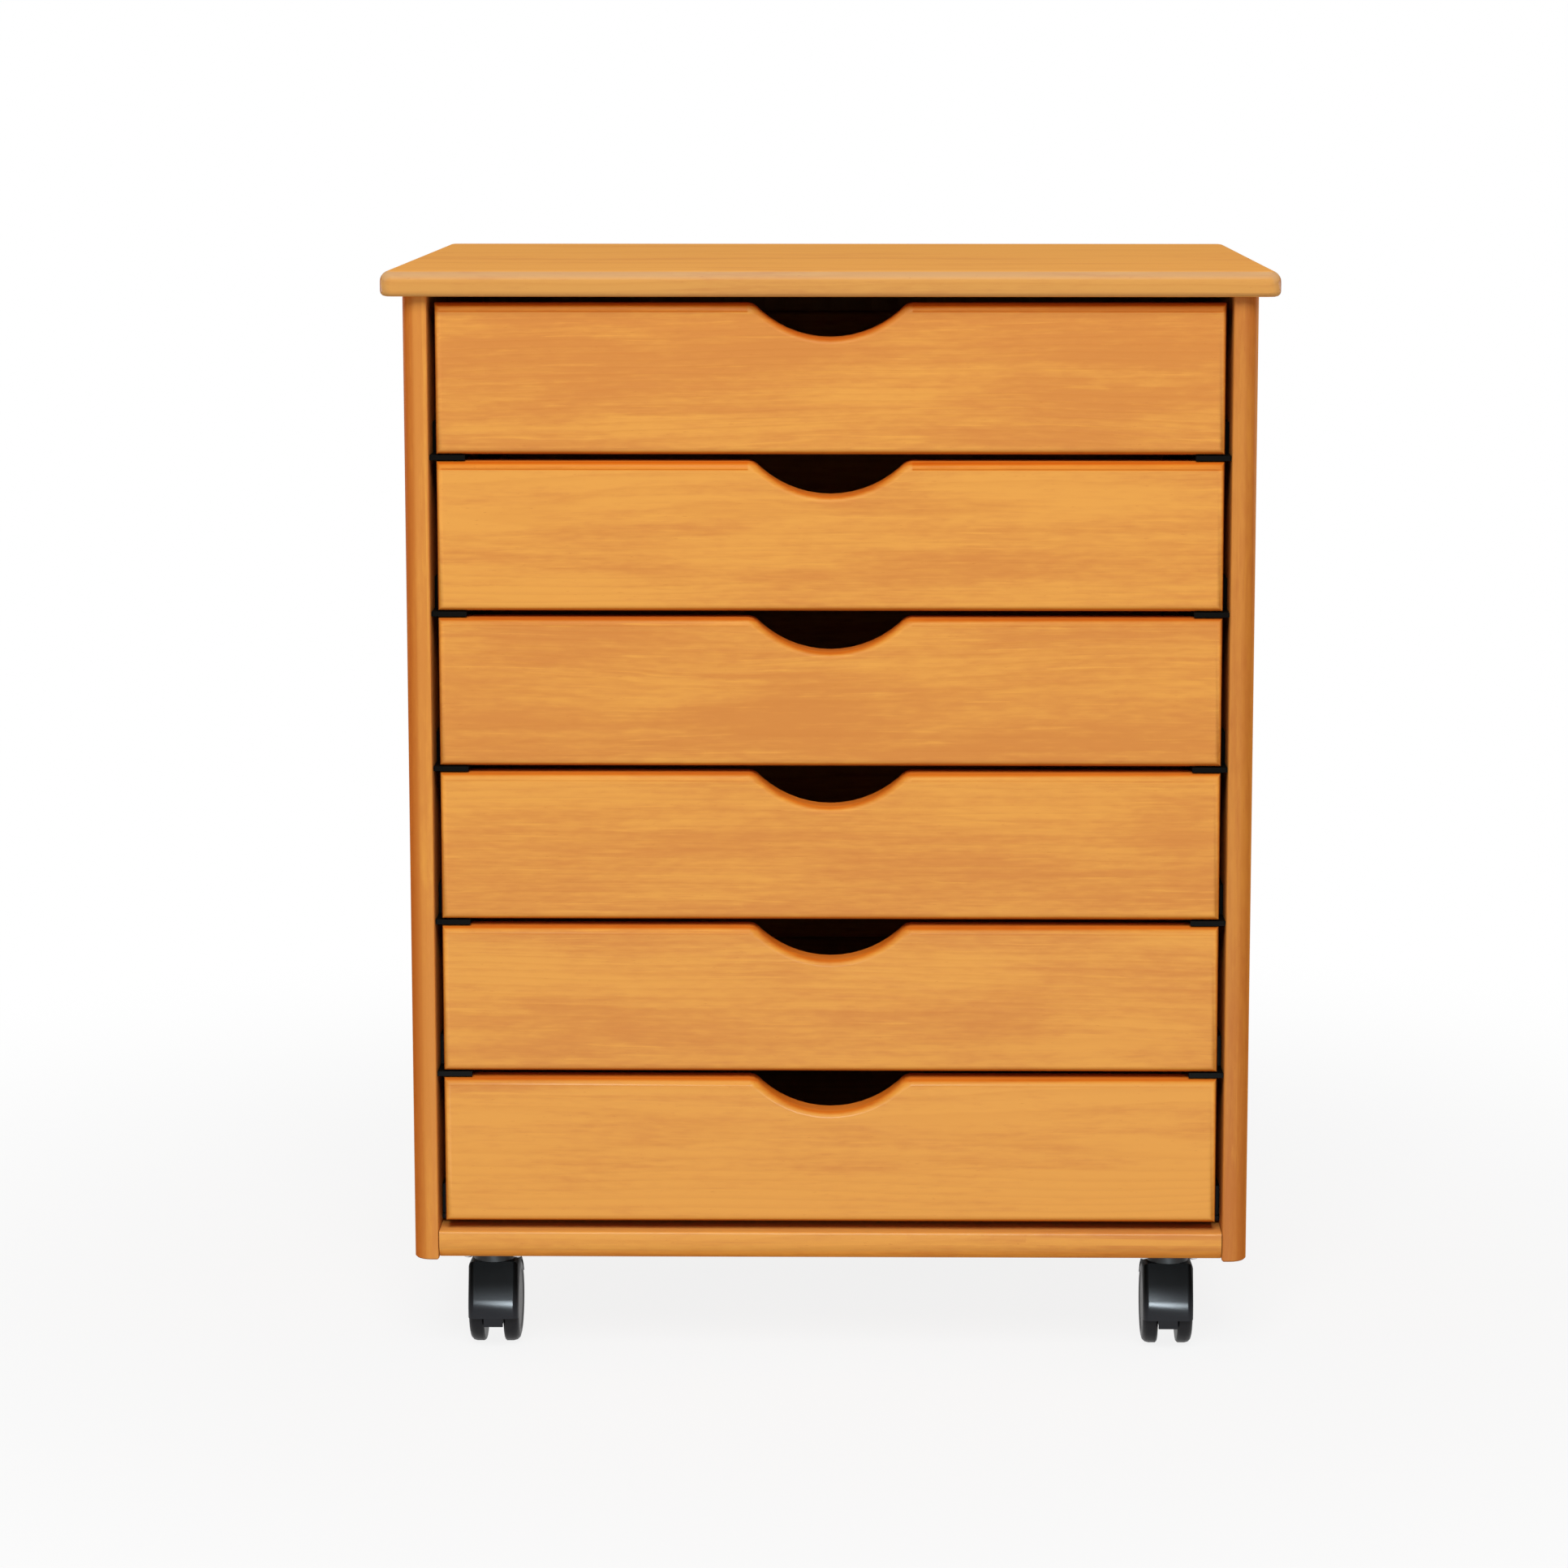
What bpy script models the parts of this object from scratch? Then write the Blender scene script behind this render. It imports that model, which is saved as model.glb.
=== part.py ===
# Wooden drawer cart: six drawers under a flat top, on four twin-wheel casters.
# Metres, +Z up. The front faces -Y, and the origin is on the floor under the middle of the top.

from math import acos, asin, atan2, ceil, cos, hypot, pi, radians, sin

import bmesh
import bpy
from mathutils import Matrix, Vector

# Fits shared by all pieces
SEAT_GAP = 0.0003
CUT_OVERRUN = 0.002
MERGE_DISTANCE = 0.000002
ROUND_STEPS = 3
WIDE_ROUND_STEPS = 6
EASED_STEPS = 2
HOLE_STEPS = 10
TURN_STEPS = 24
SHARP_ANGLE = radians(35)

# Top
TOP_WIDTH = 0.520
TOP_DEPTH = 0.391
TOP_THICKNESS = 0.015
TOP_CORNER_RADIUS = 0.0075
TOP_UPPER_RADIUS = 0.0065
TOP_LOWER_RADIUS = 0.003
TOP_SIDE_OVERHANG = 0.0117
TOP_FRONT_OVERHANG = 0.008
TOP_REAR_OVERHANG = 0.008

# Side panels, bottom board and back
PANEL_THICKNESS = 0.015
PANEL_FRONT_RADIUS = 0.0105
PANEL_REAR_RADIUS = 0.003
PANEL_INNER_RADIUS = 0.0012
PANEL_END_RADIUS = 0.0008
BOTTOM_THICKNESS = 0.0175
BOTTOM_UPPER_RADIUS = 0.0012
BOTTOM_LOWER_RADIUS = 0.010
BACK_THICKNESS = 0.005
BACK_INSET = 0.007
BACK_GROOVE_DEPTH = 0.005

# Drawer fronts
DRAWER_COUNT = 6
FRONT_HEIGHT = 0.0876
FRONT_THICKNESS = 0.015
FRONT_RECESS = 0.002
FRONT_SIDE_GAP = 0.004
FRONT_EDGE_RADIUS = 0.0042
GAP_BETWEEN_FRONTS = 0.0041
GAP_UNDER_TOP = 0.0043
GAP_OVER_BOTTOM = 0.0056
GRIP_WIDTH = 0.0896
GRIP_DEPTH = 0.020
GRIP_SHOULDER_RADIUS = 0.003
GRIP_ARC_STEPS = 16

# Drawer boxes
BOX_SIDE_HEIGHT = 0.064
BOX_SIDE_THICKNESS = 0.012
BOX_BACK_THICKNESS = 0.012
BOX_EDGE_RADIUS = 0.002
BOX_BOTTOM_THICKNESS = 0.004
BOX_BOTTOM_RISE = 0.007
BOX_GROOVE_DEPTH = 0.005
BOX_REAR_CLEARANCE = 0.006

# Runner frames: an angle under each drawer side, joined by two uprights against the side panel
RUNNER_FLANGE_WIDTH = 0.0205
RUNNER_FLANGE_THICKNESS = 0.0029
RUNNER_WEB_HEIGHT = 0.018
RUNNER_WEB_THICKNESS = 0.002
RUNNER_CLEARANCE = 0.0006
RUNNER_SIDE_CLEARANCE = 0.0017
RUNNER_SETBACK = 0.004
LOWEST_RUNNER_SETBACK = 0.022
RUNNER_WEB_SETBACK = 0.024
RUNNER_REAR_GAP = 0.003
UPRIGHT_WIDTH = 0.018
UPRIGHT_PLACE_SHARES = (0.12, 0.88)

# Casters
WHEEL_RADIUS = 0.025
WHEEL_WIDTH = 0.0092
WHEEL_GAP = 0.0118
WHEEL_EDGE = 0.0042
WHEEL_INNER_EDGE = 0.001
WHEEL_DISH = 0.0006
WHEEL_CAP_WALL = 0.0025
WHEEL_RIM_SHARE = 0.76
WHEEL_HUB_SHARE = 0.70
AXLE_RADIUS = 0.0025
RUNNING_CLEARANCE = 0.0003
HOOD_CLEARANCE = 0.0006
HOOD_WALL = 0.0018
HOOD_EDGE = 0.0035
HOOD_WEB_LIP = 0.0004
HOOD_REAR_ANGLE = radians(-55)
HOOD_SKIRT_ANGLE = radians(100)
HOOD_FLOOR_GAP = 0.0147
HOOD_HUB_RADIUS = 0.007
CASTER_TRAIL = 0.0105
BOSS_RADIUS = 0.0085
BOSS_RISE = 0.0015
KINGPIN_RADIUS = 0.004
KINGPIN_HEAD_RADIUS = 0.0065
KINGPIN_HEAD_HEIGHT = 0.0022
PLATE_WIDTH = 0.038
PLATE_THICKNESS = 0.0022
PLATE_CORNER_RADIUS = 0.003
PLATE_HOLE_SPACING = 0.029
PLATE_HOLE_RADIUS = 0.002
CUP_RADIUS = 0.0125
CUP_DEPTH = 0.0056
CUP_FLOOR = 0.002
CUP_BORE_RADIUS = 0.0085
CASTER_SIDE_INSET = 0.030
CASTER_FRONT_INSET = 0.0365
CASTER_REAR_INSET = 0.041

# Caster heights, from the floor up
FACET_SHARE = 1 / cos(pi / TURN_STEPS)
HOOD_INNER_RADIUS = WHEEL_RADIUS * FACET_SHARE + HOOD_CLEARANCE
HOOD_OUTER_RADIUS = HOOD_INNER_RADIUS + HOOD_WALL
BOSS_TOP = WHEEL_RADIUS + HOOD_OUTER_RADIUS + BOSS_RISE
PLATE_LOW = BOSS_TOP + SEAT_GAP + CUP_DEPTH
PLATE_HIGH = PLATE_LOW + PLATE_THICKNESS

# Carcass places
PANEL_OUT = TOP_WIDTH / 2 - TOP_SIDE_OVERHANG
PANEL_IN = PANEL_OUT - PANEL_THICKNESS
PANEL_FRONT = TOP_FRONT_OVERHANG - TOP_DEPTH / 2
PANEL_REAR = TOP_DEPTH / 2 - TOP_REAR_OVERHANG
BACK_REAR = PANEL_REAR - BACK_INSET
BACK_FRONT = BACK_REAR - BACK_THICKNESS
BOTTOM_LOW = PLATE_HIGH + SEAT_GAP
BOTTOM_HIGH = BOTTOM_LOW + BOTTOM_THICKNESS
FRONT_PITCH = FRONT_HEIGHT + GAP_BETWEEN_FRONTS
LOWEST_FRONT = BOTTOM_HIGH + GAP_OVER_BOTTOM
HIGHEST_FRONT = LOWEST_FRONT + (DRAWER_COUNT - 1) * FRONT_PITCH
TOP_LOW = HIGHEST_FRONT + FRONT_HEIGHT + GAP_UNDER_TOP
PANEL_HIGH = TOP_LOW - SEAT_GAP

# Drawer places, measured from the middle of a front's lower face edge
FRONT_FACE = PANEL_FRONT + FRONT_RECESS
FRONT_HALF = PANEL_IN - FRONT_SIDE_GAP
BOX_HALF = PANEL_IN - SEAT_GAP - RUNNER_WEB_THICKNESS - RUNNER_SIDE_CLEARANCE
BOX_INNER_HALF = BOX_HALF - BOX_SIDE_THICKNESS
BOX_START = FRONT_THICKNESS + SEAT_GAP
BOX_END = BACK_FRONT - BOX_REAR_CLEARANCE - FRONT_FACE
BOX_LOW = SEAT_GAP - RUNNER_CLEARANCE
BOX_HIGH = BOX_LOW + BOX_SIDE_HEIGHT
BOX_BOTTOM_LOW = BOX_LOW + BOX_BOTTOM_RISE + SEAT_GAP
BOX_BOTTOM_HIGH = BOX_BOTTOM_LOW + BOX_BOTTOM_THICKNESS

# Caster places, measured from the swivel axis at the height of the axle
WEB_HALF = WHEEL_GAP / 2 - HOOD_CLEARANCE
HOOD_HALF = WHEEL_GAP / 2 + WHEEL_WIDTH
BORE_END = HOOD_HALF - WHEEL_CAP_WALL
CASTER_X = PANEL_IN - CASTER_SIDE_INSET
CASTER_Y = {"front": PANEL_FRONT + CASTER_FRONT_INSET, "rear": PANEL_REAR - CASTER_REAR_INSET}
SIDES = {"left": -1, "right": 1}

def towards_side(side=1):
    """Lays a shape that was turned about Z along the axle, its upper end to one side."""
    return Matrix.Rotation(side * pi / 2, 4, "Y")


def material(name, colour, roughness, metallic=0.0):
    made = bpy.data.materials.new(name)
    made.use_nodes = True
    shader = made.node_tree.nodes["Principled BSDF"]
    shader.inputs["Base Color"].default_value = (*colour, 1.0)
    shader.inputs["Roughness"].default_value = roughness
    shader.inputs["Metallic"].default_value = metallic
    return made


def finished(bm):
    """Turns a bmesh into a mesh with outward faces, smooth over its round parts."""
    bmesh.ops.remove_doubles(bm, verts=bm.verts, dist=MERGE_DISTANCE)
    bmesh.ops.recalc_face_normals(bm, faces=bm.faces)
    mesh = bpy.data.meshes.new("shape")
    bm.to_mesh(mesh)
    bm.free()
    mesh.shade_smooth()
    mesh.set_sharp_from_angle(angle=SHARP_ANGLE)
    return mesh


def add(name, mesh, finish, at=(0, 0, 0), parent=None):
    piece = bpy.data.objects.new(name, mesh)
    bpy.context.collection.objects.link(piece)
    piece.parent = parent
    piece.location = at
    if not mesh.materials:
        mesh.materials.append(finish)
    return piece


def pivot(name, at):
    empty = bpy.data.objects.new(name, None)
    bpy.context.collection.objects.link(empty)
    empty.location = at
    return empty


def block(low, high):
    """A bmesh box between two corners."""
    bm = bmesh.new()
    low, high = Vector(low), Vector(high)
    bmesh.ops.create_cube(bm, size=1)
    bmesh.ops.scale(bm, vec=high - low, verts=bm.verts)
    bmesh.ops.translate(bm, vec=(low + high) / 2, verts=bm.verts)
    return bm


def prism(outline, travel):
    """A bmesh that carries a flat outline along a straight path."""
    bm = bmesh.new()
    face = bm.faces.new([bm.verts.new(point) for point in outline])
    grown = bmesh.ops.extrude_face_region(bm, geom=[face])["geom"]
    far = [item for item in grown if isinstance(item, bmesh.types.BMVert)]
    bmesh.ops.translate(bm, vec=travel, verts=far)
    return bm


def turned(profile, steps=TURN_STEPS, flat_first=False):
    """A bmesh turned about Z from (radius, height) points that start and end on the axis."""
    bm = bmesh.new()
    points = [bm.verts.new((radius, 0, height)) for radius, height in profile]
    edges = [bm.edges.new(pair) for pair in zip(points, points[1:])]
    if flat_first:
        bmesh.ops.rotate(bm, verts=points, matrix=Matrix.Rotation(pi / steps, 3, "Z"))
    bmesh.ops.spin(bm, geom=points + edges, axis=(0, 0, 1), cent=(0, 0, 0),
                   angle=2 * pi, steps=steps, use_merge=True)
    bmesh.ops.remove_doubles(bm, verts=bm.verts, dist=MERGE_DISTANCE)
    return bm


def rod(radius, low, high, steps=TURN_STEPS):
    return turned([(0, low), (radius, low), (radius, high), (0, high)], steps)


def bore(radius, low, high, steps=TURN_STEPS):
    """A cutter whose flats, not its corners, lie at the radius."""
    return rod(radius / cos(pi / steps), low, high, steps)


def round_edges(bm, radius, wanted=lambda edge: True, steps=ROUND_STEPS):
    edges = [edge for edge in bm.edges if wanted(edge)]
    bmesh.ops.bevel(bm, geom=edges, offset=radius, segments=steps, profile=0.5, affect="EDGES",
                    material=-1, clamp_overlap=True)


def runs_along(edge, axis):
    run = edge.verts[1].co - edge.verts[0].co
    return abs(run[axis]) > run.length / 2


def stands_at(edge, corner, plane):
    """Whether both ends of the edge lie at this corner of the plane, which is xy or yz."""
    return all((getattr(vert.co, plane) - corner).length < MERGE_DISTANCE for vert in edge.verts)


def lies_level(edge, height):
    return all(abs(vert.co.z - height) < MERGE_DISTANCE for vert in edge.verts)


def gathered(pattern, places):
    """One mesh that holds a copy of the pattern at each place."""
    bm = bmesh.new()
    for place in places:
        known = len(bm.verts)
        bm.from_mesh(pattern)
        bm.verts.ensure_lookup_table()
        bmesh.ops.transform(bm, matrix=place, verts=bm.verts[known:])
    return finished(bm)


def combined(mesh, operation, *tools):
    """The mesh after one Boolean step with all the tool meshes."""
    body = add("body", mesh, None)
    kit = bpy.data.collections.new("tools")
    for tool in tools:
        helper = bpy.data.objects.new("tool", tool)
        helper.hide_render = True
        helper.display_type = "WIRE"
        kit.objects.link(helper)
    step = body.modifiers.new("step", "BOOLEAN")
    step.operation = operation
    step.solver = "EXACT"
    step.operand_type = "COLLECTION"
    step.collection = kit
    bm = bmesh.new()
    bm.from_object(body, bpy.context.evaluated_depsgraph_get())
    for done in [body, *kit.objects]:
        bpy.data.objects.remove(done)
    bpy.data.collections.remove(kit)
    return finished(bm)


def runner_low(level):
    """Height of the underside of the runners that carry a drawer, counted from the top one."""
    return HIGHEST_FRONT - level * FRONT_PITCH - RUNNER_CLEARANCE - RUNNER_FLANGE_THICKNESS


def runner_span(setback):
    return PANEL_FRONT + setback, BACK_FRONT - RUNNER_REAR_GAP


def caster_spots():
    for row, y in CASTER_Y.items():
        for name, side in SIDES.items():
            yield f"{row}_{name}", side * CASTER_X, y


def build_top(wood):
    bm = block((-TOP_WIDTH / 2, -TOP_DEPTH / 2, TOP_LOW),
               (TOP_WIDTH / 2, TOP_DEPTH / 2, TOP_LOW + TOP_THICKNESS))
    round_edges(bm, TOP_CORNER_RADIUS, lambda edge: runs_along(edge, 2))
    round_edges(bm, TOP_UPPER_RADIUS, lambda edge: lies_level(edge, TOP_LOW + TOP_THICKNESS),
                WIDE_ROUND_STEPS)
    round_edges(bm, TOP_LOWER_RADIUS, lambda edge: lies_level(edge, TOP_LOW))
    add("top_panel", finished(bm), wood)


def build_side_panels(wood):
    corners = ((PANEL_OUT, PANEL_FRONT, PANEL_FRONT_RADIUS, WIDE_ROUND_STEPS),
               (PANEL_OUT, PANEL_REAR, PANEL_REAR_RADIUS, ROUND_STEPS),
               (PANEL_IN, PANEL_FRONT, PANEL_INNER_RADIUS, EASED_STEPS),
               (PANEL_IN, PANEL_REAR, PANEL_INNER_RADIUS, EASED_STEPS))
    for name, side in SIDES.items():
        low_x, high_x = sorted((side * PANEL_IN, side * PANEL_OUT))
        bm = block((low_x, PANEL_FRONT, BOTTOM_LOW), (high_x, PANEL_REAR, PANEL_HIGH))
        for x, y, radius, steps in corners:
            corner = Vector((side * x, y))
            round_edges(bm, radius, lambda edge: stands_at(edge, corner, "xy"), steps)
        round_edges(bm, PANEL_END_RADIUS, lambda edge: lies_level(edge, BOTTOM_LOW), 1)
        groove_x = sorted((side * (PANEL_IN - CUT_OVERRUN), side * (PANEL_IN + BACK_GROOVE_DEPTH)))
        groove = block((groove_x[0], BACK_FRONT - SEAT_GAP, BOTTOM_LOW - CUT_OVERRUN),
                       (groove_x[1], BACK_REAR + SEAT_GAP, PANEL_HIGH + CUT_OVERRUN))
        add(f"{name}_side_panel", combined(finished(bm), "DIFFERENCE", finished(groove)), wood)


def build_bottom_board(wood):
    half = PANEL_IN - SEAT_GAP
    bm = block((-half, PANEL_FRONT, BOTTOM_LOW), (half, BACK_FRONT - SEAT_GAP, BOTTOM_HIGH))
    for radius, height, steps in ((BOTTOM_UPPER_RADIUS, BOTTOM_HIGH, EASED_STEPS),
                                  (BOTTOM_LOWER_RADIUS, BOTTOM_LOW, WIDE_ROUND_STEPS)):
        corner = Vector((PANEL_FRONT, height))
        round_edges(bm, radius, lambda edge: stands_at(edge, corner, "yz"), steps)
    add("bottom_panel", finished(bm), wood)


def build_back(panel_finish):
    half = PANEL_IN + BACK_GROOVE_DEPTH - SEAT_GAP
    bm = block((-half, BACK_FRONT, BOTTOM_LOW), (half, BACK_REAR, PANEL_HIGH))
    add("back_panel", finished(bm), panel_finish)


def against_panel(side, thickness, start, end, low, high):
    """A block of this thickness that stands against a side panel's inner face."""
    low_x, high_x = sorted((side * (PANEL_IN - SEAT_GAP), side * (PANEL_IN - SEAT_GAP - thickness)))
    return finished(block((low_x, start, low), (high_x, end, high)))


def runner(side, level):
    """The parts of an angle: a flange that carries the drawer side, and a web behind the drawer front."""
    start, end = runner_span(LOWEST_RUNNER_SETBACK if level == DRAWER_COUNT - 1 else RUNNER_SETBACK)
    web_start = runner_span(RUNNER_WEB_SETBACK)[0]
    low = runner_low(level)
    shelf = low + RUNNER_FLANGE_THICKNESS
    return [against_panel(side, RUNNER_FLANGE_WIDTH, start, end, low, shelf),
            against_panel(side, RUNNER_WEB_THICKNESS, web_start, end, low, shelf + RUNNER_WEB_HEIGHT)]


def upright(side, share):
    """A strip against the side panel that joins the six angles of one side."""
    start, end = runner_span(RUNNER_WEB_SETBACK)
    middle = start + share * (end - start)
    rim = runner_low(0) + RUNNER_FLANGE_THICKNESS + RUNNER_WEB_HEIGHT
    return against_panel(side, RUNNER_WEB_THICKNESS, middle - UPRIGHT_WIDTH / 2, middle + UPRIGHT_WIDTH / 2,
                         runner_low(DRAWER_COUNT - 1), rim)


def build_runners(plastic):
    for name, side in SIDES.items():
        strips = [upright(side, share) for share in UPRIGHT_PLACE_SHARES]
        for level in range(DRAWER_COUNT):
            strips += runner(side, level)
        add(f"{name}_runner_frame", combined(strips[0], "UNION", *strips[1:]), plastic)


def drawer_front():
    """A board with a round finger grip cut in its top edge, rounded over on its face."""
    radius = (GRIP_WIDTH ** 2 / 4 + GRIP_DEPTH ** 2) / (2 * GRIP_DEPTH)
    sweep = asin(GRIP_WIDTH / 2 / radius)
    centre = FRONT_HEIGHT - GRIP_DEPTH + radius
    angles = [sweep * (2 * step / GRIP_ARC_STEPS - 1) for step in range(GRIP_ARC_STEPS + 1)]
    arc = [(radius * sin(angle), 0, centre - radius * cos(angle)) for angle in angles]
    corners = [(FRONT_HALF, 0, FRONT_HEIGHT), (FRONT_HALF, 0, 0), (-FRONT_HALF, 0, 0),
               (-FRONT_HALF, 0, FRONT_HEIGHT)]
    bm = prism(arc + corners, (0, FRONT_THICKNESS, 0))
    shoulder = GRIP_WIDTH / 2
    round_edges(bm, GRIP_SHOULDER_RADIUS, lambda edge: runs_along(edge, 1) and all(
        abs(abs(vert.co.x) - shoulder) < SEAT_GAP for vert in edge.verts), EASED_STEPS)
    round_edges(bm, FRONT_EDGE_RADIUS, lambda edge: all(vert.co.y < MERGE_DISTANCE for vert in edge.verts))
    return finished(bm)


def drawer_side(side):
    """A side board with its top edges eased and a groove for the bottom on its inner face."""
    outer = side * BOX_HALF
    inner = side * BOX_INNER_HALF
    deep = side * (BOX_INNER_HALF + BOX_GROOVE_DEPTH)
    groove_low = BOX_BOTTOM_LOW - SEAT_GAP
    groove_high = BOX_BOTTOM_HIGH + SEAT_GAP
    outline = [(outer, BOX_LOW), (inner, BOX_LOW), (inner, groove_low), (deep, groove_low),
               (deep, groove_high), (inner, groove_high), (inner, BOX_HIGH), (outer, BOX_HIGH)]
    bm = prism([(x, BOX_START, z) for x, z in outline], (0, BOX_END - BOX_START, 0))
    top_edge = BOX_HIGH - MERGE_DISTANCE
    round_edges(bm, BOX_EDGE_RADIUS, lambda edge: runs_along(edge, 1) and edge.verts[0].co.z > top_edge,
                EASED_STEPS)
    return finished(bm)


def drawer_back():
    half = BOX_INNER_HALF - SEAT_GAP
    bm = block((-half, BOX_END - BOX_BACK_THICKNESS, BOX_BOTTOM_HIGH + SEAT_GAP), (half, BOX_END, BOX_HIGH))
    top_edge = BOX_HIGH - MERGE_DISTANCE
    round_edges(bm, BOX_EDGE_RADIUS, lambda edge: runs_along(edge, 0) and edge.verts[0].co.z > top_edge,
                EASED_STEPS)
    return finished(bm)


def drawer_bottom():
    half = BOX_INNER_HALF + BOX_GROOVE_DEPTH - SEAT_GAP
    return finished(block((-half, BOX_START, BOX_BOTTOM_LOW), (half, BOX_END, BOX_BOTTOM_HIGH)))


def build_drawers(wood, panel_finish):
    pieces = {"front": (drawer_front(), wood), "left_side": (drawer_side(-1), wood),
              "right_side": (drawer_side(1), wood), "back": (drawer_back(), wood),
              "bottom": (drawer_bottom(), panel_finish)}
    for level in range(DRAWER_COUNT):
        drawer = pivot(f"drawer_{level + 1}_slide", (0, FRONT_FACE, HIGHEST_FRONT - level * FRONT_PITCH))
        for name, (mesh, finish) in pieces.items():
            add(f"drawer_{level + 1}_{name}", mesh, finish, parent=drawer)


def caster_plate():
    """A square plate with a cup pressed down from it, which holds the kingpin's head."""
    half = PLATE_WIDTH / 2
    bm = block((-half, -half, 0), (half, half, PLATE_THICKNESS))
    round_edges(bm, PLATE_CORNER_RADIUS, lambda edge: runs_along(edge, 2), EASED_STEPS)
    cup = finished(rod(CUP_RADIUS, -CUP_DEPTH, PLATE_THICKNESS / 2))
    floor = CUP_FLOOR - CUP_DEPTH
    pin_bore = (KINGPIN_RADIUS + RUNNING_CLEARANCE) * FACET_SHARE
    below = -CUP_DEPTH - CUT_OVERRUN
    above = PLATE_THICKNESS + CUT_OVERRUN
    hollow = finished(turned([(0, below), (pin_bore, below), (pin_bore, floor), (CUP_BORE_RADIUS, floor),
                              (CUP_BORE_RADIUS, above), (0, above)]))
    reach = PLATE_HOLE_SPACING / 2
    hole = finished(bore(PLATE_HOLE_RADIUS, -CUT_OVERRUN, above, HOLE_STEPS))
    holes = gathered(hole, [Matrix.Translation((i * reach, j * reach, 0)) for i in (-1, 1) for j in (-1, 1)])
    return combined(combined(finished(bm), "UNION", cup), "DIFFERENCE", hollow, holes)


def hood_arc(start, end):
    """Points on the hood's outer arc round the axle, between angles from straight up towards the front."""
    steps = ceil((end - start) * TURN_STEPS / (2 * pi))
    angles = [start + (end - start) * step / steps for step in range(steps + 1)]
    radius = HOOD_OUTER_RADIUS
    return [(CASTER_TRAIL - radius * sin(angle), radius * cos(angle)) for angle in angles]


def rounded_rim(radius, edge):
    """Points from a tread of this radius to the side of the caster, as (radius, place on the axle)."""
    turns = [pi / 2 * step / ROUND_STEPS for step in range(ROUND_STEPS + 1)]
    return [(radius - edge * (1 - cos(turn)), HOOD_HALF - edge * (1 - sin(turn))) for turn in turns]


def about_axle(bm, side=1):
    place = Matrix.Translation((0, CASTER_TRAIL, 0)) @ towards_side(side)
    bmesh.ops.transform(bm, matrix=place, verts=bm.verts)
    return finished(bm)


def caster_hood():
    """A fender over both wheels that rises to the swivel, a web between them, a boss and the kingpin."""
    floor_z = HOOD_FLOOR_GAP - WHEEL_RADIUS
    boss_top = BOSS_TOP - WHEEL_RADIUS
    nose = (-BOSS_RADIUS - HOOD_WALL, boss_top)
    hub = (CASTER_TRAIL + HOOD_HUB_RADIUS, floor_z)
    lean = atan2(CASTER_TRAIL - nose[0], boss_top)
    spread = acos(HOOD_OUTER_RADIUS / hypot(CASTER_TRAIL - nose[0], boss_top))
    outline = [*hood_arc(HOOD_REAR_ANGLE, lean - spread), nose,
               *hood_arc(lean + spread, acos(floor_z / HOOD_OUTER_RADIUS)), hub]
    blank = prism([(-HOOD_HALF, y, z) for y, z in outline], (2 * HOOD_HALF, 0, 0))
    round_edges(blank, HOOD_EDGE, lambda edge: not runs_along(edge, 0) and all(
        (vert.co.yz - Vector(hub)).length > MERGE_DISTANCE for vert in edge.verts))
    head_low = boss_top + SEAT_GAP + CUP_FLOOR + SEAT_GAP
    head_high = head_low + KINGPIN_HEAD_HEIGHT
    stem = finished(turned([
        (0, 0), (BOSS_RADIUS, 0), (BOSS_RADIUS, boss_top), (KINGPIN_RADIUS, boss_top),
        (KINGPIN_RADIUS, head_low), (KINGPIN_HEAD_RADIUS, head_low), (KINGPIN_HEAD_RADIUS, head_high),
        (0, head_high)]))
    well_end = HOOD_HALF + CUT_OVERRUN
    well_rim = rounded_rim(HOOD_INNER_RADIUS, WHEEL_EDGE)[:-1]
    mouth_radius = well_rim[-1][0]
    well_profile = [(0, WEB_HALF), (HOOD_INNER_RADIUS, WEB_HALF), *well_rim, (mouth_radius, well_end),
                    (0, well_end)]
    wells = []
    for side in SIDES.values():
        wells.append(about_axle(turned(well_profile, 2 * TURN_STEPS), side))
        low, high = sorted((side * (WEB_HALF + HOOD_WEB_LIP), side * well_end))
        reach = HOOD_OUTER_RADIUS + CUT_OVERRUN
        skirt = HOOD_OUTER_RADIUS * cos(HOOD_SKIRT_ANGLE)
        open_half = block((low, CASTER_TRAIL - reach, -reach), (high, CASTER_TRAIL + reach, skirt))
        wells.append(finished(open_half))
    axle_bore = bore(AXLE_RADIUS + RUNNING_CLEARANCE, -WEB_HALF - CUT_OVERRUN, WEB_HALF + CUT_OVERRUN)
    return combined(combined(finished(blank), "UNION", stem), "DIFFERENCE", *wells, about_axle(axle_bore))


def caster_axle():
    half = BORE_END - SEAT_GAP
    bm = rod(AXLE_RADIUS, -half, half)
    bmesh.ops.transform(bm, matrix=towards_side(), verts=bm.verts)
    return finished(bm)


def caster_wheel(side):
    """A wheel with a blind bore on its inner face and a shallow dish in its outer face."""
    inner = WHEEL_GAP / 2
    hub_bore = (AXLE_RADIUS + RUNNING_CLEARANCE) * FACET_SHARE
    rim = WHEEL_RADIUS * FACET_SHARE
    bm = turned([
        (0, BORE_END), (hub_bore, BORE_END), (hub_bore, inner), (rim - WHEEL_INNER_EDGE, inner),
        (rim, inner + WHEEL_INNER_EDGE), *rounded_rim(rim, WHEEL_EDGE), (rim * WHEEL_RIM_SHARE, HOOD_HALF),
        (rim * WHEEL_HUB_SHARE, HOOD_HALF - WHEEL_DISH), (0, HOOD_HALF)], flat_first=True)
    bmesh.ops.transform(bm, matrix=towards_side(side), verts=bm.verts)
    return finished(bm)


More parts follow.
